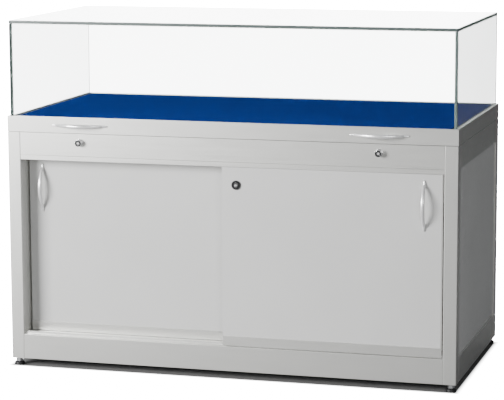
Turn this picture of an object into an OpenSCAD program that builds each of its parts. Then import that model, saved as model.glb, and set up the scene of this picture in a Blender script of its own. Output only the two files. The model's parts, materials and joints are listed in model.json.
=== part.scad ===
// Free-standing display case: an aluminium-framed cabinet with two sliding doors, and over it a
// fabric-covered display deck under a glass hood. The deck, the band in front of it and the front
// pane pull forward together as one drawer.
// X runs along the front, Y runs to the back, Z is up. The origin is under the middle of the case.

/* [Overall] */
// Width of the case over its frame
case_w = 1200; // [1000:10:1600]
// Depth of the case over its frame
case_d = 600; // [500:10:800]
// Height of the cabinet frame, from the underside of the bottom rails to the seam
cabinet_h = 608; // [480:1:800]
// Height of the band over the seam
band_h = 42; // [40:1:60]
// Height of the glass above the band
glass_h = 250; // [150:5:450]
// Height of the bottom rails above the floor
floor_gap = 20; // [18:1:30]

/* [Frame] */
// Width and depth of a corner post
post_w = 35; // [30:1:50]
// Height of the bottom rails
bottom_rail_h = 66; // [50:1:90]
// Height of the top rails
top_rail_h = 60; // [50:1:80]
// Wall of the hollow posts and rails
profile_wall = 2; // [1.5:0.1:3]
// Radius on the long edges of the posts
post_edge_r = 2; // [1:0.5:4]
// Radius on the long edges of the rails
rail_edge_r = 1; // [0.5:0.1:2]
// Distance from the outer face of the frame to the outer face of a cabinet panel
panel_recess = 4; // [2:1:10]
// Thickness of the side panels and the back panel
panel_t = 12; // [8:1:18]
// Thickness of the cabinet floor
floor_t = 16; // [12:1:25]
// Thickness of the cabinet ceiling
ceiling_t = 6; // [4:1:6]

/* [Glass hood] */
// Thickness of the glass
glass_t = 8; // [6:1:10]
// Distance from the outer face of the frame to the glass
glass_inset = 6; // [4:1:10]
// Thickness of the inner lip that holds the glass
glass_lip_t = 2; // [1.5:0.5:4]
// Height of the solid foot of a hood profile, under the glass
hood_foot_h = 11; // [8:1:14]
// Distance of the inner lip below the top of the band
lip_drop = 10; // [6:1:12]
// Thickness of the gasket in the seam
seam_t = 1; // [0.8:0.1:2]
// Clearance between the moving front pane and the fixed panes
pane_clear = 0.6; // [0.4:0.1:2]
// Thickness of the bonded joints between fixed panes
bond_t = 0.2; // [0.1:0.1:0.5]

/* [Display deck] */
// Width of the dark gap between the glass and the deck
deck_gap = 9; // [7:0.5:12]
// Thickness of the deck board with its cover
deck_t = 13; // [12:0.5:15]
// Thickness of the fabric cover
cover_t = 1; // [0.8:0.1:2]
// Distance from the rear ends of the telescopic slides to the rear hood rail
slide_rear_gap = 67; // [20:1:100]
// Height of the outer slide members
slide_h = 27; // [26:0.5:27]
// Sheet thickness of the slide members
slide_sheet = 1.2; // [1:0.1:1.5]
// Thickness of the tray angles under the deck
tray_t = 2; // [1.5:0.5:3]

/* [Sliding doors] */
// Thickness of the door panels
door_t = 18; // [16:1:19]
// Distance from the front of the frame to the front door's face
front_door_y = 4; // [3:1:6]
// Distance from the front of the frame to the rear door's face
rear_door_y = 55; // [54:1:60]
// Distance from the middle of the case to the front door's left edge, to the left
front_door_past_middle = 14; // [5:1:40]
// Distance from the middle of the case to the rear door's right edge, to the right
rear_door_past_middle = 60; // [50:1:80]
// Gap between a closed door and the post beside it
door_gap = 3; // [2:0.5:5]
// Height of the trim along the bottom of a door
door_trim_h = 25; // [22:1:35]
// Wall of the door trim
door_trim_wall = 2; // [1.5:0.5:2.5]
// Width of the strip on the front door's right edge
door_edge_w = 4.5; // [3:0.5:8]
// Height of the upper track
upper_track_h = 12; // [10:1:16]

/* [Handles, locks and feet] */
// Length of a door handle
door_handle_l = 129; // [110:1:160]
// Length of a display handle
display_handle_l = 154; // [120:1:180]
// How far a handle stands out
handle_reach = 28; // [22:1:28]
// Height of the door handles' middle above the bottom rails' underside
door_handle_z = 455; // [300:5:455]
// Distance from the right post's inner face to the front door's handle
front_door_handle_inset = 51; // [40:1:80]
// Distance from the left post's inner face to the rear door's handle
rear_door_handle_inset = 40; // [35:1:80]
// Distance from each end of the case to its display handle and its cam lock
lock_inset = 201; // [120:1:260]
// Distance of the cam locks below the seam
lock_drop = 23; // [18:1:26]
// Height of the door lock above the bottom rails' underside
door_lock_z = 489; // [300:1:489]
// Distance from the front door's left edge to the door lock
door_lock_inset = 38; // [34:1:42]
// Diameter of a foot's base
foot_d = 28; // [22:1:30]
// Distance from the outer faces of a post to the middle of its foot
foot_inset = 15; // [14:0.5:17.5]

/* [Hidden] */
$fn = 48;

// Colours
silver = [0.78, 0.78, 0.77];
laminate = [0.8, 0.8, 0.79];
panel_grey = [0.62, 0.62, 0.6];
black = [0.07, 0.07, 0.07];
blue = [0.04, 0.22, 0.52];
chrome = [0.88, 0.88, 0.9];
steel = [0.62, 0.63, 0.65];
board = [0.7, 0.6, 0.45];
pane = [0.6, 0.75, 0.72, 0.3];
nylon = [0.9, 0.9, 0.86];

// Main planes, in the case's own coordinates: Y from the front face, Z from the rails' underside
half_w = case_w / 2;
front_y = -(case_d - handle_reach) / 2;
opening_half_w = half_w - post_w;
rail_l = case_w - 2 * post_w;
side_rail_l = case_d - 2 * post_w;
top_rail_z = cabinet_h - top_rail_h;
door_top_edge_z = top_rail_z - upper_track_h;
seam_z = cabinet_h + seam_t;
band_top_z = cabinet_h + band_h;
glass_top_z = band_top_z + glass_h;

// Hood rails: outer wall, glass, inner lip
hood_w = glass_inset + glass_t + glass_lip_t;
hood_foot_z = seam_z + hood_foot_h;
lip_top_z = band_top_z - lip_drop;
glass_inner = glass_inset + glass_t;
seal_h = 7;
seal_clear = 0.6;
front_part_gap = 0.5;

// Deck and its slides
deck_z = band_top_z - deck_t;
deck_half_w = half_w - glass_inner - deck_gap;
deck_front_y = glass_inner + deck_gap - 1.5;
deck_rear_y = case_d - glass_inner - deck_gap - 0.5;
slide_mid_z = deck_z - 0.5 - slide_h / 2;
slide_outer_x = half_w - hood_w;
slide_front_y = hood_w + 1;
slide_l = case_d - hood_w - slide_rear_gap - slide_front_y;
slide_step = 3;
tray_x = slide_outer_x - 12;
tray_z = cabinet_h + 2;
tray_flange = 25;

// Doors
door_half_w = opening_half_w - door_gap;
front_door_x = -front_door_past_middle;
front_door_l = door_half_w - front_door_x;
rear_door_l = door_half_w + rear_door_past_middle;
track_base_t = 1.2;
track_rib_w = 2.5;
track_rib_h = 5.8;
track_rear_y = rear_door_y + door_t + 4.5;
trim_z = bottom_rail_h + track_base_t + 0.8;
trim_web_z = 14.5;
trim_web_t = 1.5;
door_z = trim_z + trim_web_z + trim_web_t;
door_top_z = top_rail_z - 5;
glide_l = 40;
glide_inset = 60;

// Locks
cam_lock_z = cabinet_h - lock_drop;
cam_lock_x = half_w - lock_inset;
barrel_r = 8.8;
barrel_flange_r = 10;
barrel_flange_t = 2.5;
barrel_reach = 14;
barrel_body_r = 8;
plug_r = 5.45;
nut_t = 4;
cam_t = 3;
cam_y = post_w + nut_t + 1;
tang_w = 6;
door_lock_x = front_door_x + door_lock_inset;
door_plug_r = 5.95;
door_cam_y = front_door_y + door_t + nut_t + 1;
fit_clear = 0.05;
stem_r = 4;
stem_l = 42;

// Handles
screw_r = 2;
handle_rings = 28;
handle_sides = 16;
handle_landing = 0.08;
handle_tip = 2.6;
handle_t = 8;
handle_w = 10.5;
door_handle_pitch = 96;
display_handle_pitch = 128;
display_handle_z = (seam_z + band_top_z) / 2;
stud_l = 5.2;
left_handle_x = -opening_half_w + rear_door_handle_inset;
right_handle_x = opening_half_w - front_door_handle_inset;

// ---------------------------------------------------------------- helpers

// Moves from the case's own coordinates to the model's origin on the floor
module placed() {
  translate([0, front_y, floor_gap]) children();
}

// Keeps the right-hand shape, or mirrors it to the left
module on_side(side) {
  if (side > 0) children();
  else mirror([1, 0, 0]) children();
}

// Rectangle with round corners, its lower left corner at the origin
module round_rect(w, h, r) {
  translate([r, 0]) square([w - 2 * r, h]);
  translate([0, r]) square([w, h - 2 * r]);
  for (x = [r, w - r], y = [r, h - r])
    translate([x, y]) circle(r = r);
}

module hollow_rect(w, h, r, wall) {
  difference() {
    round_rect(w, h, r);
    translate([wall, wall]) square([w - 2 * wall, h - 2 * wall]);
  }
}

// Extrudes a profile drawn in Y and Z along X
module bar_x(length) {
  rotate([90, 0, 90]) linear_extrude(length) children();
}

// Extrudes a profile drawn in X and Z along Y
module bar_y(length) {
  translate([0, length, 0]) rotate([90, 0, 0]) linear_extrude(length) children();
}

// Cylinder along Y, from the given Y towards the back
module rod_y(r, y, length) {
  translate([0, y, 0]) rotate([-90, 0, 0]) cylinder(r = r, h = length);
}

// Block between two corners
module block(low, high) {
  translate(low) cube(high - low);
}

// ---------------------------------------------------------------- frame

// Corner post with a closed top, for the right-hand side
module post(side, rear) {
  color(silver) placed() on_side(side)
    translate([opening_half_w, rear ? case_d - post_w : 0, 0])
      difference() {
        linear_extrude(cabinet_h) round_rect(post_w, post_w, post_edge_r);
        translate([profile_wall, profile_wall, -1])
          cube([post_w - 2 * profile_wall, post_w - 2 * profile_wall,
                cabinet_h - profile_wall + 1]);
      }
}

module long_rail(y, z, h) {
  translate([-opening_half_w, y, z])
    bar_x(rail_l) hollow_rect(post_w, h, rail_edge_r, profile_wall);
}

module cross_rail(side, z, h) {
  color(silver) placed() on_side(side)
    translate([opening_half_w, post_w, z])
      bar_y(side_rail_l) hollow_rect(post_w, h, rail_edge_r, profile_wall);
}

module bottom_rail_front() {
  color(silver) placed() long_rail(0, 0, bottom_rail_h);
}

module bottom_rail_rear() {
  color(silver) placed() long_rail(case_d - post_w, 0, bottom_rail_h);
}

// The lock rail: both of its walls are bored for the two cam locks
module top_rail_front() {
  color(silver) placed()
    difference() {
      long_rail(0, top_rail_z, top_rail_h);
      for (side = [-1, 1])
        translate([side * cam_lock_x, 0, cam_lock_z])
          rod_y(barrel_body_r + fit_clear, -1, post_w + 2);
    }
}

module top_rail_rear() {
  color(silver) placed() long_rail(case_d - post_w, top_rail_z, top_rail_h);
}

// Threaded block in the foot of each post
module foot_inserts() {
  inner_w = post_w - 2 * profile_wall;
  color(steel) placed()
    for (side = [-1, 1], rear = [0, 1])
      difference() {
        on_side(side)
          translate([opening_half_w + profile_wall,
                     rear * (case_d - post_w) + profile_wall, 0])
            cube([inner_w, inner_w, 20]);
        translate([side * (half_w - foot_inset), rear > 0 ? case_d - foot_inset : foot_inset, -1])
          cylinder(r = stem_r + fit_clear, h = 22);
      }
}

// Levelling foot: moulded base and threaded stem with a hexagon collar
module foot(side, rear) {
  base_r = foot_d / 2;
  base_h = 9.5;
  collar_h = floor_gap - base_h - 1.5;
  neck_r = 8;
  socket_h = 6;
  placed()
    translate([side * (half_w - foot_inset), rear ? case_d - foot_inset : foot_inset, -floor_gap]) {
      color(black)
        difference() {
          rotate_extrude()
            polygon(concat(
              [[0, 0], [base_r - 1, 0], [base_r, 1], [base_r, 4]],
              [for (a = [15 : 15 : 90])
                [neck_r + (base_r - neck_r) * cos(a), 4 + (base_h - 4) * sin(a)]],
              [[0, base_h]]));
          translate([0, 0, base_h - socket_h]) cylinder(r = stem_r + fit_clear, h = socket_h + 1);
        }
      color(steel)
        translate([0, 0, base_h]) {
          translate([0, 0, fit_clear]) cylinder(r = 9.5, h = collar_h, $fn = 6);
          translate([0, 0, fit_clear - socket_h]) cylinder(r = stem_r, h = socket_h + stem_l);
        }
    }
}

// ---------------------------------------------------------------- cabinet

module side_panel(side) {
  color(panel_grey) placed() on_side(side)
    block([half_w - panel_recess - panel_t, post_w, bottom_rail_h],
          [half_w - panel_recess, case_d - post_w, top_rail_z]);
}

module back_panel() {
  color(panel_grey) placed()
    block([-opening_half_w, case_d - panel_recess - panel_t, bottom_rail_h],
          [opening_half_w, case_d - panel_recess, top_rail_z]);
}

module cabinet_floor() {
  color(laminate) placed()
    block([-opening_half_w, post_w, bottom_rail_h - floor_t],
          [opening_half_w, case_d - post_w, bottom_rail_h]);
}

module cabinet_ceiling() {
  color(laminate) placed()
    block([-opening_half_w, post_w, top_rail_z],
          [opening_half_w, case_d - post_w, top_rail_z + ceiling_t]);
}

// Upper track: a flat web with a fascia and three walls that guide the doors' top edges
module upper_track() {
  wall = 2;
  color(silver) placed()
    translate([-opening_half_w, 0, door_top_edge_z])
      bar_x(rail_l) {
        translate([0, upper_track_h - wall]) square([track_rear_y, wall]);
        for (y = [0, front_door_y + door_t + 2.5, rear_door_y - 2 - wall, track_rear_y - wall])
          translate([y, 0]) square([wall, upper_track_h]);
      }
}

// Lower track: a thin base with one running rib under each door
module lower_track() {
  color(silver) placed()
    translate([-opening_half_w, 0, bottom_rail_h])
      bar_x(rail_l) {
        translate([front_door_y + 2, 0]) square([track_rear_y - front_door_y - 2, track_base_t]);
        for (y = [front_door_y, rear_door_y])
          translate([y + (door_t - track_rib_w) / 2, 0])
            square([track_rib_w, track_base_t + track_rib_h]);
      }
}

// Strips that carry the posts' inner faces back past the rear door
module door_jambs() {
  color(silver) placed()
    for (side = [-1, 1])
      on_side(side)
        block([opening_half_w, post_w, bottom_rail_h],
              [opening_half_w + 2, track_rear_y, top_rail_z]);
}

// ---------------------------------------------------------------- glass hood

// Wall and foot of a hood rail, with the outer face at 0
module hood_profile() {
  square([glass_inner, hood_foot_h]);
  square([glass_inset, band_top_z - seam_z]);
}

// Inner lip of a hood rail, across the glass from its wall
module lip_profile() {
  translate([glass_inner, 0]) square([glass_lip_t, lip_top_z - seam_z]);
}

// Hood rail along the front or the back, with its wall returned round both corners
module long_hood_rail() {
  lip_half_l = half_w - glass_inner - pane_clear;
  translate([-half_w, 0, seam_z]) bar_x(case_w) hood_profile();
  translate([-lip_half_l, 0, seam_z]) bar_x(2 * lip_half_l) lip_profile();
  for (side = [-1, 1])
    on_side(side)
      block([half_w - glass_inset, 0, seam_z], [half_w, glass_inner, band_top_z]);
}

module hood_rail(side) {
  start = glass_inner + front_part_gap;
  lip_start = hood_w + front_part_gap;
  color(silver) placed() on_side(side)
    translate([half_w, 0, seam_z]) {
      translate([0, start, 0])
        bar_y(case_d - glass_inner - start) mirror([1, 0]) hood_profile();
      translate([0, lip_start, 0])
        bar_y(case_d - hood_w - lip_start) mirror([1, 0]) lip_profile();
    }
}

module hood_rail_rear() {
  color(silver) placed()
    translate([0, case_d, 0]) mirror([0, 1, 0]) long_hood_rail();
}

// Gasket in the seam under the hood rails, and the strips that fill the gap round the deck
module hood_seals() {
  inset = 1;
  gasket_w = hood_w - 2 * inset;
  rear_low_y = deck_rear_y + seal_clear;
  color(black) placed() {
    for (side = [-1, 1])
      on_side(side) {
        block([half_w - hood_w + inset, hood_w + inset, cabinet_h],
              [half_w - inset, case_d - inset, seam_z]);
        block([deck_half_w + seal_clear, deck_front_y + seal_clear, lip_top_z],
              [half_w - glass_inner, case_d - hood_w, lip_top_z + seal_h]);
      }
    block([-half_w + hood_w - inset, case_d - inset - gasket_w, cabinet_h],
          [half_w - hood_w + inset, case_d - inset, seam_z]);
    block([-deck_half_w - seal_clear + 0.1, rear_low_y, lip_top_z],
          [deck_half_w + seal_clear - 0.1, case_d - glass_inner, lip_top_z + seal_h]);
  }
}

module glass_side(side) {
  color(pane) placed() on_side(side)
    block([half_w - glass_inner, glass_inner + pane_clear, hood_foot_z],
          [half_w - glass_inset, case_d - glass_inset, glass_top_z - glass_t - bond_t]);
}

module glass_rear() {
  reach = half_w - glass_inner - bond_t;
  color(pane) placed()
    block([-reach, case_d - glass_inner, hood_foot_z],
          [reach, case_d - glass_inset, glass_top_z - glass_t - bond_t]);
}

module glass_top() {
  reach = half_w - glass_inset;
  color(pane) placed()
    block([-reach, glass_inset, glass_top_z - glass_t],
          [reach, case_d - glass_inset, glass_top_z]);
}

// ---------------------------------------------------------------- display drawer

module display_front_rail() {
  color(silver) placed()
    difference() {
      long_hood_rail();
      for (side = [-1, 1])
        translate([side * cam_lock_x, 0, 0]) display_stud_holes();
    }
}

// Blind holes for the studs of one display handle, in the outer wall of the front rail
module display_stud_holes() {
  for (s = [-1, 1])
    translate([s * display_handle_pitch / 2, 0, display_handle_z])
      rod_y(screw_r + fit_clear, -1, stud_l + 1.2);
}

module glass_front() {
  reach = half_w - glass_inset - pane_clear;
  color(pane) placed()
    block([-reach, glass_inset, hood_foot_z],
          [reach, glass_inner, glass_top_z - glass_t - pane_clear]);
}

module front_seal() {
  reach = half_w - glass_inner - pane_clear;
  color(black) placed()
    block([-reach, glass_inner, lip_top_z],
          [reach, deck_front_y - 0.3, lip_top_z + seal_h]);
}

module deck_board() {
  color(board) placed()
    block([-deck_half_w + cover_t, deck_front_y + cover_t, deck_z],
          [deck_half_w - cover_t, deck_rear_y - cover_t, band_top_z - cover_t]);
}

// Fabric over the top and the edges of the board
module deck_cover() {
  color(blue) placed()
    difference() {
      block([-deck_half_w, deck_front_y, deck_z], [deck_half_w, deck_rear_y, band_top_z]);
      block([-deck_half_w + cover_t, deck_front_y + cover_t, deck_z - 1],
            [deck_half_w - cover_t, deck_rear_y - cover_t, band_top_z - cover_t]);
    }
}

// Angles that carry the deck on the slides
module tray_sides() {
  color(steel) placed()
    for (side = [-1, 1])
      on_side(side)
        translate([tray_x - tray_t, hood_w, 0])
          bar_y(deck_rear_y - 20 - hood_w) {
            translate([0, tray_z]) square([tray_t, deck_z - tray_z]);
            translate([-tray_flange, deck_z - tray_t]) square([tray_flange + tray_t, tray_t]);
          }
}

// Channel section of a slide member: web at 0, flanges towards positive X
module channel(height, depth) {
  translate([0, -height / 2]) square([slide_sheet, height]);
  for (z = [-height / 2, height / 2 - slide_sheet])
    translate([0, z]) square([depth, slide_sheet]);
}

module slide_pair(x) {
  color(steel) placed()
    for (side = [-1, 1])
      on_side(side)
        translate([x, slide_front_y, slide_mid_z]) bar_y(slide_l) children();
}

module slide_outer_members() {
  slide_pair(slide_outer_x) mirror([1, 0]) channel(slide_h, 9);
}

module slide_middle_members() {
  slide_pair(slide_outer_x - slide_step) mirror([1, 0]) channel(slide_h - 6, 5.5);
}

module slide_inner_members() {
  slide_pair(tray_x) channel(slide_h - 12, 6.5);
}

// Angles under the deck that the locks' cams stand in front of
module lock_strikes() {
  strike_y = cam_y + cam_t + 1;
  color(steel) placed()
    for (side = [-1, 1])
      translate([side * cam_lock_x - 15, strike_y, 0])
        bar_x(30) {
          translate([0, tray_z + 2]) square([2, deck_z - tray_z - 2]);
          translate([0, deck_z - 2]) square([20, 2]);
        }
}

// ---------------------------------------------------------------- doors

// Trim under a door: it grips the panel above its web and covers the track below it
module door_trim(x, length, y) {
  width = door_t + 2 * door_trim_wall;
  color(silver) placed()
    translate([x, y - door_trim_wall, trim_z])
      bar_x(length)
        difference() {
          square([width, door_trim_h]);
          translate([door_trim_wall, -1]) square([door_t, trim_web_z + 1]);
          translate([door_trim_wall, trim_web_z + trim_web_t]) square([door_t, door_trim_h]);
        }
}

// Nylon shoes that straddle the track's rib
module door_glides(x, length, y) {
  color(nylon) placed()
    for (start = [x + glide_inset, x + length - glide_inset - glide_l])
      translate([start, y, trim_z + 1])
        bar_x(glide_l)
          difference() {
            translate([0.3, 0]) square([door_t - 0.6, trim_web_z - 1]);
            translate([(door_t - track_rib_w) / 2 - 0.5, -1])
              square([track_rib_w + 1, track_rib_h - 0.6]);
          }
}

module door_screw_holes(x) {
  for (s = [-1, 1])
    translate([x, 0, door_handle_z + s * door_handle_pitch / 2])
      rod_y(screw_r + fit_clear, -1, rear_door_y + door_t + 10);
}

module left_door_panel() {
  color(laminate) placed()
    difference() {
      block([-door_half_w, rear_door_y, door_z],
            [-door_half_w + rear_door_l, rear_door_y + door_t, door_top_z]);
      door_screw_holes(left_handle_x);
    }
}

module right_door_panel() {
  color(laminate) placed()
    difference() {
      block([front_door_x, front_door_y, door_z],
            [door_half_w - door_edge_w, front_door_y + door_t, door_top_z]);
      door_screw_holes(right_handle_x);
      translate([door_lock_x, 0, door_lock_z])
        rod_y(8.5 + fit_clear, -1, 40);
    }
}

module right_door_edge() {
  color(silver) placed()
    block([door_half_w - door_edge_w, front_door_y - 0.5, trim_z + door_trim_h],
          [door_half_w, front_door_y + door_t, door_top_z]);
}

// ---------------------------------------------------------------- handles

function handle_arch(u) = pow(sin(180 * u), 0.85);
function handle_open(u) = min(1, max(0, (u - handle_landing) / (1 - 2 * handle_landing)));
function handle_back(u) = (handle_reach - handle_t) * handle_arch(handle_open(u));
function handle_thick(u) = handle_tip + (handle_t - handle_tip) * pow(sin(180 * u), 0.5);
function handle_width(u) = handle_tip + (handle_w - handle_tip) * pow(sin(180 * u), 0.5);

// Bow handle along X that stands out towards the front, with its ends tapered onto the surface.
// Two studs reach grip deep behind the surface; a door's handle has screws with heads instead.
module bow_handle(length, pitch, grip, heads) {
  rings = [for (i = [0 : handle_rings])
    let (u = i / handle_rings, back = handle_back(u), t = handle_thick(u), w = handle_width(u))
      [for (j = [0 : handle_sides - 1])
        let (a = 360 * j / handle_sides)
          [length * (u - 0.5), -(back + t / 2 + t / 2 * sin(a)), w / 2 * cos(a)]]];
  points = [for (ring = rings) each ring];
  walls = [for (i = [0 : handle_rings - 1], j = [0 : handle_sides - 1])
    let (k = (j + 1) % handle_sides, a = i * handle_sides, b = a + handle_sides)
      each [[a + j, b + j, b + k], [a + j, b + k, a + k]]];
  near_cap = [[for (j = [0 : handle_sides - 1]) j]];
  far_cap = [[for (j = [handle_sides - 1 : -1 : 0]) handle_rings * handle_sides + j]];
  post_u = 0.5 + pitch / length / 2;
  post_h = handle_back(post_u) + handle_thick(post_u) * 0.45;
  color(chrome)
    difference() {
      union() {
        polyhedron(points, concat(walls, near_cap, far_cap));
        for (s = [-1, 1])
          translate([s * pitch / 2, 0, 0]) rod_y(3.2, -post_h, post_h);
      }
      for (s = [-1, 1])
        translate([s * pitch / 2, 0, 0]) rod_y(screw_r + fit_clear, -post_h + 1.2, post_h);
    }
  color(steel)
    for (s = [-1, 1])
      translate([s * pitch / 2, 0, 0]) {
        rod_y(screw_r, -post_h + 1.4, post_h - 1.4 + grip + (heads ? 1 : 0));
        if (heads) rod_y(4, grip, 2.4);
      }
}

module display_handle(side) {
  placed()
    translate([side * cam_lock_x, 0, display_handle_z])
      bow_handle(display_handle_l, display_handle_pitch, stud_l, false);
}

module door_handle(x, y) {
  placed()
    translate([x, y, door_handle_z])
      rotate([0, 90, 0]) bow_handle(door_handle_l, door_handle_pitch, door_t, true);
}

// ---------------------------------------------------------------- locks

// Fixed barrels of the two cam locks, with their nuts behind the rail
module lock_barrels() {
  color(chrome) placed()
    for (side = [-1, 1])
      translate([side * cam_lock_x, 0, cam_lock_z]) {
        difference() {
          union() {
            rod_y(barrel_r, -barrel_reach, barrel_reach);
            rod_y(barrel_flange_r, -barrel_flange_t, barrel_flange_t);
            rod_y(barrel_body_r, 0, post_w + nut_t);
          }
          rod_y(plug_r + fit_clear, -barrel_reach - 1, barrel_reach + post_w + nut_t + 2);
        }
        difference() {
          translate([0, post_w, 0]) rotate([-90, 0, 0]) cylinder(r = 12, h = nut_t, $fn = 6);
          rod_y(barrel_body_r + fit_clear, post_w - 1, nut_t + 2);
        }
      }
}

// Turning plug with a key slot, and the cam on its square tang; the cam points right at rest
module plug_and_cam(r, face_y, cam_from_y, cam_l, cam_w) {
  difference() {
    union() {
      rod_y(r, face_y, cam_from_y - face_y);
      block([-tang_w / 2, cam_from_y - 1, -tang_w / 2],
            [tang_w / 2, cam_from_y + cam_t + 0.5, tang_w / 2]);
    }
    block([-0.7, face_y - 1, -r * 0.62], [0.7, face_y + 5, r * 0.62]);
  }
  hole = tang_w / 2 + fit_clear;
  near_y = cam_from_y + fit_clear;
  difference() {
    union() {
      rod_y(cam_w / 2, near_y, cam_t);
      block([0, near_y, -cam_w / 2], [cam_l - cam_w / 2, near_y + cam_t, cam_w / 2]);
      translate([cam_l - cam_w / 2, 0, 0]) rod_y(cam_w / 2, near_y, cam_t);
    }
    block([-hole, cam_from_y - 1, -hole], [hole, cam_from_y + cam_t + 1, hole]);
  }
}

module lock_plug(side) {
  color(chrome) placed()
    translate([side * cam_lock_x, 0, cam_lock_z])
      plug_and_cam(plug_r, -barrel_reach + 0.5, cam_y, 38, 12);
}

// Black rosette and body of the door lock, with its nut behind the panel
module door_lock_barrel() {
  back_y = front_door_y + door_t;
  color(black) placed()
    translate([door_lock_x, 0, door_lock_z]) {
      difference() {
        union() {
          rod_y(12, front_door_y - 3, 3);
          rod_y(8.5, front_door_y - 1, door_t + nut_t + 1);
        }
        rod_y(door_plug_r + fit_clear, -10, 60);
      }
      difference() {
        translate([0, back_y, 0]) rotate([-90, 0, 0]) cylinder(r = 12, h = nut_t, $fn = 6);
        rod_y(8.5 + fit_clear, back_y - 1, nut_t + 2);
      }
    }
}

module door_lock_plug() {
  color(chrome) placed()
    translate([door_lock_x, 0, door_lock_z])
      plug_and_cam(door_plug_r, front_door_y - 5.5, door_cam_y, 25, 10);
}

// Angle on the rear door: its wing stands beside the turned-up cam, so neither door can open
module door_lock_keeper() {
  low_z = door_lock_z + 15;
  wing_x = -8;
  color(steel) placed()
    translate([door_lock_x, 0, 0]) {
      block([-16, rear_door_y - 2, low_z - 2], [16, rear_door_y, low_z + 18]);
      block([wing_x - 2, door_cam_y, low_z], [wing_x, rear_door_y - 2, low_z + 16]);
    }
}

post(-1, false);  // post_front_left
post(1, false);  // post_front_right
post(-1, true);  // post_rear_left
post(1, true);  // post_rear_right
bottom_rail_front();
bottom_rail_rear();
cross_rail(-1, 0, bottom_rail_h);  // bottom_rail_left
cross_rail(1, 0, bottom_rail_h);  // bottom_rail_right
top_rail_front();
top_rail_rear();
cross_rail(-1, top_rail_z, top_rail_h);  // top_rail_left
cross_rail(1, top_rail_z, top_rail_h);  // top_rail_right
upper_track();
lower_track();
door_jambs();
side_panel(-1);  // side_panel_left
side_panel(1);  // side_panel_right
back_panel();
cabinet_floor();
cabinet_ceiling();
hood_rail(-1);  // hood_rail_left
hood_rail(1);  // hood_rail_right
hood_rail_rear();
hood_seals();
glass_side(-1);  // glass_left
glass_side(1);  // glass_right
glass_rear();
glass_top();
slide_outer_members();
lock_barrels();
foot_inserts();
display_front_rail();
glass_front();
deck_board();
deck_cover();
tray_sides();
slide_inner_members();
lock_strikes();
front_seal();
display_handle(-1);  // display_handle_left
display_handle(1);  // display_handle_right
slide_middle_members();
left_door_panel();
door_trim(-door_half_w, rear_door_l, rear_door_y);  // left_door_trim
door_handle(left_handle_x, rear_door_y);  // left_door_handle
door_glides(-door_half_w, rear_door_l, rear_door_y);  // left_door_glides
door_lock_keeper();
right_door_panel();
door_trim(front_door_x, front_door_l, front_door_y);  // right_door_trim
right_door_edge();
door_handle(right_handle_x, front_door_y);  // right_door_handle
door_glides(front_door_x, front_door_l, front_door_y);  // right_door_glides
door_lock_barrel();
door_lock_plug();
lock_plug(-1);  // lock_plug_left
lock_plug(1);  // lock_plug_right
foot(-1, false);  // foot_front_left
foot(1, false);  // foot_front_right
foot(-1, true);  // foot_rear_left
foot(1, true);  // foot_rear_right
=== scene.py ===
"""Free-standing display case: aluminium-framed cabinet with two sliding doors under a glass hood
with a blue fabric-covered deck that pulls forward."""
import json
import math

import bmesh
import bpy
from mathutils import Matrix, Vector


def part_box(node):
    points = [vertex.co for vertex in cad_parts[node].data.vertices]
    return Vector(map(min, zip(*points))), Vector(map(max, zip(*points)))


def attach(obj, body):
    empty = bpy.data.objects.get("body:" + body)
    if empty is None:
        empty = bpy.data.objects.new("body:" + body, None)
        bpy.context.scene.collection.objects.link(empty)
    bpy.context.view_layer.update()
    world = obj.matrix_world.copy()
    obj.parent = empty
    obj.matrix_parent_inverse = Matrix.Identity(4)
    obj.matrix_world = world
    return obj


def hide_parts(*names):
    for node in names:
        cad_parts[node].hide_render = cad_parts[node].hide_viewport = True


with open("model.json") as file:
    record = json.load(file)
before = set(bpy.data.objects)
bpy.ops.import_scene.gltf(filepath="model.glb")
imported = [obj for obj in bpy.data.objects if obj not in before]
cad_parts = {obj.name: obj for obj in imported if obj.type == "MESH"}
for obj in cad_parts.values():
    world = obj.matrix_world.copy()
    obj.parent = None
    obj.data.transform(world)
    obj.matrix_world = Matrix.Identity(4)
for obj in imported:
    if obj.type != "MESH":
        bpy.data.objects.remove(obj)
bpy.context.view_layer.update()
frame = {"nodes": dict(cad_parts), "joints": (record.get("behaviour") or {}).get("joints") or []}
nodes = frame["nodes"]

scene = bpy.context.scene

CASE_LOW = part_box("post_front_left")[0]
CASE_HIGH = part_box("post_rear_right")[1]
FRONT_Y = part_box("display_front_rail")[0].y
JOINTS = {joint["name"]: joint for joint in frame["joints"]}

# ---------------------------------------------------------------- camera

CAMERA_AT = (1.5582, -5.5083, 1.3364)
YAW = 0.2781
PITCH = -0.1577
ROLL = -0.0036
LENS = 153.74


def add_camera():
    forward = Vector((-math.sin(YAW) * math.cos(PITCH), math.cos(YAW) * math.cos(PITCH),
                      math.sin(PITCH)))
    right = Vector((math.cos(YAW), math.sin(YAW), 0))
    up = right.cross(forward)
    local_x = math.cos(ROLL) * right + math.sin(ROLL) * up
    local_y = -math.sin(ROLL) * right + math.cos(ROLL) * up
    data = bpy.data.cameras.new("camera")
    data.sensor_width = 36
    data.lens = LENS
    data.clip_end = 100
    data.dof.use_dof = False
    camera = bpy.data.objects.new("camera", data)
    scene.collection.objects.link(camera)
    turn = Matrix((local_x, local_y, -forward)).transposed().to_4x4()
    camera.matrix_world = Matrix.Translation(CAMERA_AT) @ turn
    scene.camera = camera


add_camera()

# ---------------------------------------------------------------- materials


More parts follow.
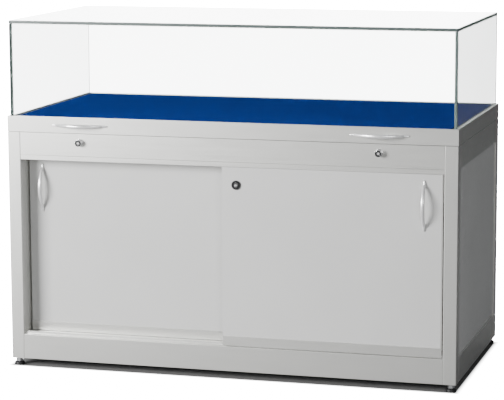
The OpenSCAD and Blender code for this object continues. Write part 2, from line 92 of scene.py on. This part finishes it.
class Surface:
    """A Principled material with its node tree, and the procedural detail added to it."""

    def __init__(self, name, color, roughness, metallic=0.0):
        self.material = bpy.data.materials.new(name)
        self.material.use_nodes = True
        self.tree = self.material.node_tree
        self.shader = self.tree.nodes["Principled BSDF"]
        self.shader.inputs["Base Color"].default_value = (*color, 1)
        self.shader.inputs["Roughness"].default_value = roughness
        self.shader.inputs["Metallic"].default_value = metallic
        self.color = color
        self.roughness = roughness
        self.bump = None

    def node(self, kind, **settings):
        made = self.tree.nodes.new(kind)
        for key, value in settings.items():
            setattr(made, key, value)
        return made

    def link(self, out, into):
        self.tree.links.new(out, into)

    def noise(self, scale, detail=3.0, stretch=(1, 1, 1)):
        """Noise in object coordinates; scale is per metre."""
        place = self.node("ShaderNodeTexCoord")
        mapping = self.node("ShaderNodeMapping")
        mapping.inputs["Scale"].default_value = stretch
        texture = self.node("ShaderNodeTexNoise")
        texture.inputs["Scale"].default_value = scale
        texture.inputs["Detail"].default_value = detail
        self.link(place.outputs["Object"], mapping.inputs["Vector"])
        self.link(mapping.outputs["Vector"], texture.inputs["Vector"])
        return texture.outputs["Fac"]

    def thread_wave(self, axis, scale):
        """Even ridges across one axis of the object; scale is ridges per 0.05 m."""
        place = self.node("ShaderNodeTexCoord")
        wave = self.node("ShaderNodeTexWave", bands_direction=axis)
        wave.inputs["Scale"].default_value = scale
        wave.inputs["Distortion"].default_value = 0.6
        wave.inputs["Detail"].default_value = 1.0
        self.link(place.outputs["Object"], wave.inputs["Vector"])
        return wave.outputs["Fac"]

    def vary_roughness(self, source, spread):
        ranged = self.node("ShaderNodeMapRange")
        ranged.inputs["From Min"].default_value = 0.25
        ranged.inputs["From Max"].default_value = 0.75
        ranged.inputs["To Min"].default_value = self.roughness - spread
        ranged.inputs["To Max"].default_value = self.roughness + spread
        self.link(source, ranged.inputs["Value"])
        self.link(ranged.outputs["Result"], self.shader.inputs["Roughness"])
        return self

    def vary_color(self, source, low, high):
        """Runs the base colour from low to high times itself."""
        ramp = self.node("ShaderNodeValToRGB")
        ramp.color_ramp.elements[0].position = 0.3
        ramp.color_ramp.elements[1].position = 0.7
        ramp.color_ramp.elements[0].color = (*(c * low for c in self.color), 1)
        ramp.color_ramp.elements[1].color = (*(c * high for c in self.color), 1)
        self.link(source, ramp.inputs["Fac"])
        self.link(ramp.outputs["Color"], self.shader.inputs["Base Color"])
        return self

    def add_bump(self, source, strength, height):
        bump = self.node("ShaderNodeBump")
        bump.inputs["Strength"].default_value = strength
        bump.inputs["Distance"].default_value = height
        self.link(source, bump.inputs["Height"])
        if self.bump:
            self.link(self.bump.outputs["Normal"], bump.inputs["Normal"])
        self.link(bump.outputs["Normal"], self.shader.inputs["Normal"])
        self.bump = bump
        return self


def aluminium(axis):
    """Satin anodised profile with fine drawing lines along its length."""
    stretch = {"x": (0.01, 1, 1), "y": (1, 0.01, 1), "z": (1, 1, 0.01)}[axis]
    made = Surface("aluminium_" + axis, (0.70, 0.70, 0.675), 0.38, 0.8)
    lines = made.noise(900, 2, stretch)
    made.vary_roughness(lines, 0.04).add_bump(lines, 0.02, 0.0001)
    made.vary_color(made.noise(3, 2), 0.98, 1.01)
    return made.material


def laminate(name, color, roughness=0.48):
    """Melamine face: pearl texture and a faint cloudiness."""
    made = Surface(name, color, roughness)
    grain = made.noise(1400, 3)
    made.vary_roughness(grain, 0.06).add_bump(grain, 0.12, 0.0001)
    made.vary_color(made.noise(4, 2), 0.97, 1.02)
    return made.material


def rubber(name, color, roughness):
    """Black rubber or moulded plastic with a fine grain."""
    made = Surface(name, color, roughness)
    made.vary_roughness(made.noise(300, 3), 0.08).add_bump(made.noise(900, 2), 0.15, 0.0001)
    made.shader.inputs["Specular IOR Level"].default_value = 0.35
    return made.material


def metal(name, color, roughness, spread, metallic=1.0):
    """Polished or brushed metal; spread is how much its roughness varies."""
    made = Surface(name, color, roughness, metallic)
    made.vary_roughness(made.noise(400, 3), spread)
    made.add_bump(made.noise(800, 2), 0.03, 0.0001)
    return made.material


def fabric():
    """Close-woven cloth: crossed threads 0.8 mm apart, with nap and a soft sheen."""
    made = Surface("deck_fabric", (0.0022, 0.0145, 0.104), 0.95)
    fibre = made.noise(1600, 4)
    made.vary_color(made.noise(220, 4), 0.82, 1.12)
    made.add_bump(made.thread_wave("X", 62), 0.35, 0.0002)
    made.add_bump(made.thread_wave("Y", 62), 0.35, 0.0002)
    made.add_bump(fibre, 0.3, 0.0002)
    made.shader.inputs["Sheen Weight"].default_value = 0.02
    made.shader.inputs["Sheen Roughness"].default_value = 0.5
    made.shader.inputs["Sheen Tint"].default_value = (0.02, 0.2, 0.9, 1)
    made.shader.inputs["Specular IOR Level"].default_value = 0.0
    return made.material


def board():
    """Raw edge and underside of a medium-density board."""
    made = Surface("deck_board", (0.42, 0.29, 0.17), 0.75)
    fibre = made.noise(700, 5, (1, 1, 3))
    made.vary_color(fibre, 0.78, 1.15).vary_roughness(fibre, 0.08).add_bump(fibre, 0.3, 0.0003)
    return made.material


def glass():
    """Float glass, faintly green, that lets lamps shine through to the deck."""
    made = Surface("glass", (0.985, 0.996, 0.992), 0.006)
    made.shader.inputs["Transmission Weight"].default_value = 1.0
    made.shader.inputs["IOR"].default_value = 1.5
    made.vary_roughness(made.noise(6, 2), 0.006)
    clear = made.node("ShaderNodeBsdfTransparent")
    clear.inputs["Color"].default_value = (0.95, 0.98, 0.97, 1)
    rays = made.node("ShaderNodeLightPath")
    mixed = made.node("ShaderNodeMixShader")
    made.link(rays.outputs["Is Shadow Ray"], mixed.inputs["Fac"])
    made.link(made.shader.outputs["BSDF"], mixed.inputs[1])
    made.link(clear.outputs["BSDF"], mixed.inputs[2])
    made.link(mixed.outputs["Shader"], made.tree.nodes["Material Output"].inputs["Surface"])
    return made.material


def painted_dark_glass_edge():
    """Ground edge of the panes: slightly frosted, and dark grey-green as a painted shade for the
    darkness that light gives glass edges.
    """
    made = Surface("glass_edge", (0.085, 0.11, 0.104), 0.3)
    made.shader.inputs["Transmission Weight"].default_value = 0.12
    made.vary_roughness(made.noise(900, 3), 0.08).add_bump(made.noise(1500, 3), 0.1, 0.0001)
    made.vary_color(made.noise(12, 2), 0.9, 1.1)
    return made.material


ALUMINIUM = {axis: aluminium(axis) for axis in "xyz"}
LAMINATE = laminate("door_laminate", (0.60, 0.60, 0.59))
PANEL = laminate("cabinet_panel", (0.70, 0.70, 0.69), 0.55)
CARCASS = laminate("cabinet_board", (0.62, 0.62, 0.60))
RUBBER = rubber("seal_rubber", (0.012, 0.013, 0.015), 0.6)
LOCK_BLACK = rubber("lock_black", (0.010, 0.010, 0.011), 0.35)
FOOT_BLACK = rubber("foot_black", (0.014, 0.014, 0.015), 0.45)
CHROME = metal("chrome", (0.86, 0.86, 0.87), 0.22, 0.04)
SATIN = metal("satin_chrome", (0.95, 0.95, 0.95), 0.30, 0.04, 0.6)
STEEL = metal("steel", (0.58, 0.59, 0.60), 0.34, 0.08)
NYLON = laminate("nylon", (0.78, 0.78, 0.72), 0.42)
FABRIC = fabric()
BOARD = board()
GLASS = glass()
GLASS_EDGE = painted_dark_glass_edge()

# ---------------------------------------------------------------- CAD pieces

ALONG_X = ["bottom_rail_front", "bottom_rail_rear", "top_rail_front", "top_rail_rear",
           "upper_track", "lower_track", "hood_rail_rear", "display_front_rail",
           "left_door_trim", "right_door_trim"]
ALONG_Y = ["bottom_rail_left", "bottom_rail_right", "top_rail_left", "top_rail_right",
           "hood_rail_left", "hood_rail_right"]
ALONG_Z = ["post_front_left", "post_front_right", "post_rear_left", "post_rear_right",
           "door_jambs", "right_door_edge"]
PLAIN = (
    (LAMINATE, ["left_door_panel", "right_door_panel"]),
    (PANEL, ["side_panel_left", "side_panel_right", "back_panel"]),
    (CARCASS, ["cabinet_floor", "cabinet_ceiling"]),
    (BOARD, ["deck_board"]),
    (RUBBER, ["hood_seals", "front_seal"]),
    (GLASS, ["glass_left", "glass_right", "glass_rear", "glass_top", "glass_front"]),
    (CHROME, ["lock_barrels"]),
    (SATIN, ["lock_plug_left", "lock_plug_right", "door_lock_plug"]),
    (LOCK_BLACK, ["door_lock_barrel"]),
    (STEEL, ["slide_outer_members", "slide_middle_members", "slide_inner_members",
             "tray_sides", "lock_strikes", "foot_inserts", "door_lock_keeper"]),
    (NYLON, ["left_door_glides", "right_door_glides"]),
)


def paint(obj, material):
    obj.data.materials.clear()
    obj.data.materials.append(material)


def soften(obj, width):
    """Rounds the sharp edges a little; flat faces keep their own normals."""
    for face in obj.data.polygons:
        face.use_smooth = True
    weld = obj.modifiers.new("weld", "WELD")
    weld.merge_threshold = 0.000005
    plane = obj.modifiers.new("plane", "DECIMATE")
    plane.decimate_type = "DISSOLVE"
    plane.angle_limit = math.radians(0.5)
    bevel = obj.modifiers.new("bevel", "BEVEL")
    bevel.width = width
    bevel.segments = 2
    bevel.limit_method = "ANGLE"
    bevel.angle_limit = math.radians(40)
    normals = obj.modifiers.new("normals", "WEIGHTED_NORMAL")
    normals.weight = 100
    normals.keep_sharp = True


PROFILE_EDGE = 0.0004
BOARD_EDGE = 0.0006
SHEET_EDGE = 0.0002

for axis, names in (("x", ALONG_X), ("y", ALONG_Y), ("z", ALONG_Z)):
    for name in names:
        paint(nodes[name], ALUMINIUM[axis])
        soften(nodes[name], PROFILE_EDGE)
for material, names in PLAIN:
    for name in names:
        paint(nodes[name], material)
        soften(nodes[name], SHEET_EDGE if material is STEEL else BOARD_EDGE)

# The narrow faces of each pane, which is thin along this axis, are ground edges, painted dark as
# shade
for name, thin in (("glass_left", 0), ("glass_right", 0), ("glass_rear", 1), ("glass_front", 1),
                   ("glass_top", 2)):
    nodes[name].data.materials.append(GLASS_EDGE)
    for face in nodes[name].data.polygons:
        face.material_index = 0 if abs(face.normal[thin]) > 0.5 else 1

# ---------------------------------------------------------------- new pieces


def add_mesh(name, verts, faces, material, body, smooth=True):
    mesh = bpy.data.meshes.new(name)
    mesh.from_pydata([tuple(v) for v in verts], [], faces)
    mesh.validate()
    mesh.update()
    edit = bmesh.new()
    edit.from_mesh(mesh)
    bmesh.ops.recalc_face_normals(edit, faces=edit.faces)
    edit.to_mesh(mesh)
    edit.free()
    for face in mesh.polygons:
        face.use_smooth = smooth
    obj = bpy.data.objects.new(name, mesh)
    scene.collection.objects.link(obj)
    paint(obj, material)
    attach(obj, body)
    return obj


def lathe(name, profile, place, material, body, sides=48, ring_shape=False):
    """Turns (radius, height) pairs about Z, then places them. A ring joins its last pair to its
    first; any other piece is capped at both ends."""
    verts, faces = [], []
    for radius, height in profile:
        for i in range(sides):
            a = 2 * math.pi * i / sides
            verts.append(place @ Vector((radius * math.cos(a), radius * math.sin(a), height)))
    for ring in range(len(profile) - 1):
        for i in range(sides):
            j = (i + 1) % sides
            a, b = ring * sides, (ring + 1) * sides
            faces.append((a + i, a + j, b + j, b + i))
    last = (len(profile) - 1) * sides
    if ring_shape:
        faces += [(last + i, last + (i + 1) % sides, (i + 1) % sides, i) for i in range(sides)]
    else:
        faces += [tuple(range(sides)), tuple(range(last, last + sides))]
    obj = add_mesh(name, verts, faces, material, body)
    obj.data.set_sharp_from_angle(angle=math.radians(35))
    return obj


TO_FRONT = Matrix.Rotation(math.radians(90), 4, "X")

HANDLE_REACH = 0.028
HANDLE_T = 0.008
HANDLE_W = 0.0105
# Thickness and width of a handle at its ends
HANDLE_TIP = 0.0026
# Share of a handle's length that lies on the surface at each end
LANDING = 0.08
SCREW_R = 0.0020
SCREW_ROOT_R = 0.0017
SCREW_PITCH = 0.0007


def handle_ring(u):
    """Offset from the surface, thickness and width of a bow handle at u from 0 to 1."""
    run = min(1, max(0, (u - LANDING) / (1 - 2 * LANDING)))
    arch = max(0, math.sin(math.pi * run)) ** 0.85
    full = max(0, math.sin(math.pi * u)) ** 0.5
    return ((HANDLE_REACH - HANDLE_T) * arch, HANDLE_TIP + (HANDLE_T - HANDLE_TIP) * full,
            HANDLE_TIP + (HANDLE_W - HANDLE_TIP) * full)


def handle_screw(name, reach, grip, heads, at, body):
    """Screw with a pan head behind the surface, or a stud that ends inside the profile."""
    profile = [(0.0019, reach - 0.0014)]
    height = reach - 0.0018
    end = -grip + (0 if heads else 0.0003)
    while height > end:
        profile += [(SCREW_R, height), (SCREW_ROOT_R, height - SCREW_PITCH / 2)]
        height -= SCREW_PITCH
    if heads:
        profile += [(SCREW_R, -grip), (0.0040, -grip), (0.0040, -grip - 0.0012),
                    (0.0034, -grip - 0.0021), (0.0018, -grip - 0.0024),
                    (0.0016, -grip - 0.0012), (0.0004, -grip - 0.0010)]
    else:
        profile += [(0.0016, end), (0.0004, end - 0.0002)]
    lathe(name, profile, at, STEEL, body, 24)


def bow_handle(name, pitch, grip, heads, place, body):
    """Bow drawn along X, standing out towards -Y; the screws come from behind the surface."""
    low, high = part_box(name)
    length = max(high.x - low.x, high.z - low.z)
    rings, sides = 110, 28
    verts, faces = [], []
    for i in range(rings + 1):
        # More rings towards the tapered ends
        u = 0.5 - 0.5 * math.cos(math.pi * i / rings)
        back, thick, width = handle_ring(u)
        for j in range(sides):
            a = 2 * math.pi * j / sides
            verts.append(place @ Vector((length * (u - 0.5), -(back + thick / 2 * (1 + math.sin(a))),
                                         width / 2 * math.cos(a))))
    for i in range(rings):
        for j in range(sides):
            k = (j + 1) % sides
            a, b = i * sides, (i + 1) * sides
            faces.append((a + j, b + j, b + k, a + k))
    faces.append(tuple(range(sides)))
    faces.append(tuple(range(rings * sides, (rings + 1) * sides)))
    bow = add_mesh(name, verts, faces, SATIN, body)
    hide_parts(name)
    back, thick, _ = handle_ring(0.5 + pitch / length / 2)
    reach = back + thick * 0.45
    for side, word in ((-1, "a"), (1, "b")):
        at = place @ Matrix.Translation((side * pitch / 2, 0, 0)) @ TO_FRONT
        boss = lathe(f"{name}_boss_{word}",
                     [(0.0021, 0), (0.0032, 0), (0.0029, reach * 0.5), (0.0032, reach),
                      (0.0021, reach)],
                     at, SATIN, body, 24)
        handle_screw(f"{name}_screw_{word}", reach, grip, heads, at, body)


SCREW_DEPTH_BAND = 0.0052
SCREW_DEPTH_DOOR = 0.018
DISPLAY_HANDLE_PITCH = 0.128
DOOR_HANDLE_PITCH = 0.096

UPRIGHT = Matrix.Rotation(math.radians(90), 4, "Y")


def handle_middle(name, y):
    """Where a handle's middle meets the surface, which stands at y."""
    low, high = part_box(name)
    return Matrix.Translation(((low.x + high.x) / 2, y, (low.z + high.z) / 2))


for side in ("left", "right"):
    name = "display_handle_" + side
    bow_handle(name, DISPLAY_HANDLE_PITCH, SCREW_DEPTH_BAND, False,
               handle_middle(name, FRONT_Y), "display_drawer")
    name = side + "_door_handle"
    bow_handle(name, DOOR_HANDLE_PITCH, SCREW_DEPTH_DOOR, True,
               handle_middle(name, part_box(side + "_door_panel")[0].y) @ UPRIGHT, side + "_door")


FOOT_BASE_H = 0.0095
FOOT_NECK_R = 0.0082
COLLAR_R = 0.0095
COLLAR_H = 0.009
STEM_R = 0.0040
STEM_ROOT_R = 0.0034
STEM_PITCH = 0.00125


def foot_base(node, r, at):
    """Moulded base: a rim on a shadow gap, a domed top and a socket for the stem."""
    rim = 0.0045
    profile = [(0.002, 0.0006), (r - 0.0030, 0.0006), (r - 0.0022, 0), (r - 0.0010, 0),
               (r - 0.0003, 0.0004), (r, 0.0012), (r, 0.0038), (r - 0.0003, rim)]
    for i in range(1, 13):
        a = math.radians(90 * i / 12)
        profile.append((FOOT_NECK_R + (r - 0.0003 - FOOT_NECK_R) * math.cos(a),
                        rim + (FOOT_BASE_H - rim) * math.sin(a)))
    profile += [(0.0041, FOOT_BASE_H), (0.0041, 0.0036), (0.0005, 0.0036)]
    base = lathe(node + "_base", profile, at, FOOT_BLACK, node, 64)
    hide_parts(node)


def foot_collar(node, at):
    """Hexagon that a spanner turns, with its edges broken top and bottom."""
    bottom = FOOT_BASE_H + 0.00005
    top = bottom + COLLAR_H
    chamfer_r, chamfer_h = 0.0011, 0.0006
    rings = ((COLLAR_R - chamfer_r, bottom), (COLLAR_R, bottom + chamfer_h),
             (COLLAR_R, top - chamfer_h), (COLLAR_R - chamfer_r, top))
    verts = [at @ Vector((radius * math.cos(math.radians(60 * i)),
                          radius * math.sin(math.radians(60 * i)), z))
             for radius, z in rings for i in range(6)]
    faces = []
    for low in range(0, 18, 6):
        for i in range(6):
            j = (i + 1) % 6
            faces.append((low + i, low + j, low + 6 + j, low + 6 + i))
    faces += [tuple(range(6)), tuple(range(18, 24))]
    add_mesh(node + "_collar", verts, faces, STEEL, node, smooth=False)


def foot_stem(node, top, at):
    """Threaded stem from the base's socket up into the post."""
    profile = [(0.0004, 0.0037), (STEM_ROOT_R, 0.0037)]
    z = 0.0045
    while z < top - 0.0015:
        profile += [(STEM_R, z), (STEM_R, z + 0.0002), (STEM_ROOT_R, z + 0.0007)]
        z += STEM_PITCH
    profile += [(STEM_ROOT_R, top - 0.0008), (0.0028, top), (0.0004, top)]
    lathe(node + "_stem", profile, at, STEEL, node, 32)


for node in ("foot_front_left", "foot_front_right", "foot_rear_left", "foot_rear_right"):
    low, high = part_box(node)
    foot_at = Matrix.Translation(((low.x + high.x) / 2, (low.y + high.y) / 2, 0))
    foot_base(node, (high.x - low.x) / 2, foot_at)
    foot_collar(node, foot_at)
    foot_stem(node, high.z, foot_at)


CLOTH_EDGE_R = 0.0022


def deck_cloth():
    """Cloth drawn tight over the board, rounded along its top edges and round its corners."""
    low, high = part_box("deck_cover")
    r = CLOTH_EDGE_R
    offset = 0.0002
    x0, x1, y0, y1 = low.x + offset, high.x - offset, low.y + offset, high.y - offset
    top = high.z - offset
    bottom = low.z + 0.0003

    def outline(inset, z):
        points = []
        for cx, cy, start in ((x1, y1, 0), (x0, y1, 90), (x0, y0, 180), (x1, y0, 270)):
            sx = -1 if cx == x1 else 1
            sy = -1 if cy == y1 else 1
            for k in range(7):
                a = math.radians(start + 90 * k / 6)
                points.append((cx + sx * (inset + r) + r * math.cos(a),
                               cy + sy * (inset + r) + r * math.sin(a), z))
        return points

    loops = []
    for k in range(7):
        a = math.radians(90 * k / 6)
        loops.append(outline(r * (1 - math.sin(a)), top - r * (1 - math.cos(a))))
    for k in range(1, 5):
        loops.append(outline(0, top - r + (bottom - top + r) * k / 4))
    verts = [p for loop in loops for p in loop]
    n = len(loops[0])
    faces = []
    for i in range(len(loops) - 1):
        for j in range(n):
            k = (j + 1) % n
            faces.append((i * n + j, (i + 1) * n + j, (i + 1) * n + k, i * n + k))
    faces.append(tuple(range(n)))
    cloth = add_mesh("deck_cloth", verts, faces, FABRIC, "display_drawer")
    cloth.data.set_sharp_from_angle(angle=math.radians(50))
    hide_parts("deck_cover")


deck_cloth()


def face_ring(name, node, turn, inner, outer, body):
    """Thin black ring round a lock's turning axis, on the face of its barrel or plug."""
    x, _, z = JOINTS[turn]["pos_m"]
    at = Matrix.Translation((x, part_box(node)[0].y, z)) @ TO_FRONT
    ring = lathe(name, [(inner, -0.0004), (inner, 0.0001), (inner + 0.0002, 0.0003),
                        (outer - 0.0002, 0.0003), (outer, 0.0001), (outer, -0.0004)],
                 at, LOCK_BLACK, body, ring_shape=True)


for side in ("left", "right"):
    lock = "lock_" + side
    face_ring("lock_face_" + side, "lock_barrels", lock + "_turn", 0.0057, 0.0082, "case")
    face_ring("lock_plug_face_" + side, "lock_plug_" + side, lock + "_turn", 0.0032, 0.0053, lock)
face_ring("door_lock_face", "door_lock_plug", "door_lock_turn", 0.0031, 0.0058, "door_lock")


# Half the distance between the doors' buffers, and half the width of the opening
BUFFER_HALF_GAP = 0.5622
OPENING_HALF_W = -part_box("post_front_left")[1].x


def door_buffer(name, side, door, material):
    """Half-round strip on a post, which the closed door stops against; its material paints the gap
    there as shade or as light.
    """
    low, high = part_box(door)
    y0, y1 = high.y - 0.011, high.y - 0.001
    verts, faces = [], []
    for z in (low.z + 0.012, high.z - 0.004):
        for k in range(9):
            a = math.pi * k / 8
            verts.append((side * (OPENING_HALF_W - (OPENING_HALF_W - BUFFER_HALF_GAP) * math.sin(a)),
                          (y0 + y1) / 2 + (y1 - y0) / 2 * math.cos(a), z))
    for k in range(8):
        faces.append((k, k + 1, k + 10, k + 9))
    faces += [tuple(range(9)), tuple(range(9, 18)), (0, 8, 17, 9)]
    strip = add_mesh(name, verts, faces, material, "case")
    strip.data.set_sharp_from_angle(angle=math.radians(35))


# Painted light and shade: the black right strip paints the gap beside the right door as a dark shade
# line; the pale left strip fills the gap beside the left door so no shade shows.
door_buffer("door_buffer_left_pale_gap_fill", -1, "left_door_panel", NYLON)
door_buffer("door_buffer_right_painted_gap_shade", 1, "right_door_panel", RUBBER)

# ---------------------------------------------------------------- studio


def distance_outside_case(made):
    """Distance from the case's footprint, below zero under it."""
    place = made.node("ShaderNodeTexCoord")
    split = made.node("ShaderNodeSeparateXYZ")
    made.link(place.outputs["Object"], split.inputs["Vector"])
    outside = made.node("ShaderNodeMath", operation="MAXIMUM")
    for index, (axis, low, high) in enumerate((("X", CASE_LOW.x, CASE_HIGH.x),
                                               ("Y", CASE_LOW.y, CASE_HIGH.y))):
        moved = made.node("ShaderNodeMath", operation="SUBTRACT")
        moved.inputs[1].default_value = (low + high) / 2
        made.link(split.outputs[axis], moved.inputs[0])
        size = made.node("ShaderNodeMath", operation="ABSOLUTE")
        made.link(moved.outputs["Value"], size.inputs[0])
        past = made.node("ShaderNodeMath", operation="SUBTRACT")
        past.inputs[1].default_value = (high - low) / 2
        made.link(size.outputs["Value"], past.inputs[0])
        made.link(past.outputs["Value"], outside.inputs[index])
    return outside.outputs["Value"]


def studio_material(name, color, glow):
    """Pale floor that glows where it is seen directly or through glass; a painted shade darkens it
    and cuts its glow under the case and just round it.
    """
    made = Surface(name, color, 0.9)
    made.vary_roughness(made.noise(0.7, 2), 0.02)
    made.shader.inputs["Specular IOR Level"].default_value = 0.1
    made.shader.inputs["Emission Color"].default_value = (1, 1, 1, 1)
    rays = made.node("ShaderNodeLightPath")
    bounced = made.node("ShaderNodeMath", operation="ADD")
    ranged = made.node("ShaderNodeMapRange")
    ranged.inputs["To Min"].default_value = glow
    ranged.inputs["To Max"].default_value = 0.0
    made.link(rays.outputs["Glossy Depth"], bounced.inputs[0])
    made.link(rays.outputs["Diffuse Depth"], bounced.inputs[1])
    made.link(bounced.outputs["Value"], ranged.inputs["Value"])
    # Painted shade: this mask darkens the floor's colour to 0.6 of itself and turns its glow off
    # under the case, fading out just past its edges.
    soft = made.node("ShaderNodeMapRange", interpolation_type="SMOOTHSTEP")
    soft.inputs["From Min"].default_value = -0.004
    soft.inputs["From Max"].default_value = 0.022
    made.link(distance_outside_case(made), soft.inputs["Value"])
    made.vary_color(soft.outputs["Result"], 0.6, 1.0)
    shaded = made.node("ShaderNodeMath", operation="MULTIPLY")
    made.link(soft.outputs["Result"], shaded.inputs[0])
    made.link(ranged.outputs["Result"], shaded.inputs[1])
    made.link(shaded.outputs["Value"], made.shader.inputs["Emission Strength"])
    made.material.cycles.emission_sampling = "NONE"
    return made.material


def add_floor():
    """Flat floor that runs far behind the case."""
    mesh = bpy.data.meshes.new("studio_floor")
    mesh.from_pydata([(-40, -20, 0), (40, -20, 0), (40, 60, 0), (-40, 60, 0)], [], [(0, 1, 2, 3)])
    floor = bpy.data.objects.new("studio_floor", mesh)
    scene.collection.objects.link(floor)
    paint(floor, studio_material("studio_floor", (0.3, 0.3, 0.3), 30.0))


def add_area(name, at, target, size, power):
    data = bpy.data.lights.new(name, "AREA")
    data.shape = "RECTANGLE"
    data.size, data.size_y = size
    data.energy = power
    lamp = bpy.data.objects.new(name, data)
    scene.collection.objects.link(lamp)
    lamp.location = at
    lamp.rotation_euler = (Vector(target) - Vector(at)).to_track_quat("-Z", "Y").to_euler()
    return lamp


def add_world():
    """Dim even light from all round; past the floor's far edge the view stays bright."""
    world = bpy.data.worlds.new("studio")
    world.use_nodes = True
    scene.world = world
    back = world.node_tree.nodes["Background"]
    back.inputs["Color"].default_value = (0.93, 0.96, 1.0, 1)
    rays = world.node_tree.nodes.new("ShaderNodeLightPath")
    ranged = world.node_tree.nodes.new("ShaderNodeMapRange")
    ranged.inputs["To Min"].default_value = 0.15
    ranged.inputs["To Max"].default_value = 14.0
    world.node_tree.links.new(rays.outputs["Is Camera Ray"], ranged.inputs["Value"])
    world.node_tree.links.new(ranged.outputs["Result"], back.inputs["Strength"])


add_floor()
add_world()
add_area("key_lamp", (-2.55, -3.1, 1.4), (-0.3, -0.1, 0.5), (1.7, 1.3), 305)
top_lamp = add_area("top_lamp", (-0.3, -0.4, 3.2), (0, 0, 0.6), (1.6, 1.2), 18)
top_lamp.visible_glossy = False
add_area("fill_lamp", (2.4, -4.8, 1.6), (0.4, 0, 0.4), (1.5, 1.5), 66)
add_area("rear_lamp", (-2.6, 4.2, 2.4), (0, 0.3, 0.4), (1.8, 1.8), 110)
# A white wall behind, seen only as the reflection in the top pane
back_wall = add_area("back_wall", (-2, 7, 2.4), (0, 0, 0.9), (7, 2.2), 520)
back_wall.visible_diffuse = False
reflecting = bpy.data.collections.new("reflecting")
reflecting.objects.link(nodes["glass_top"])
back_wall.light_linking.receiver_collection = reflecting
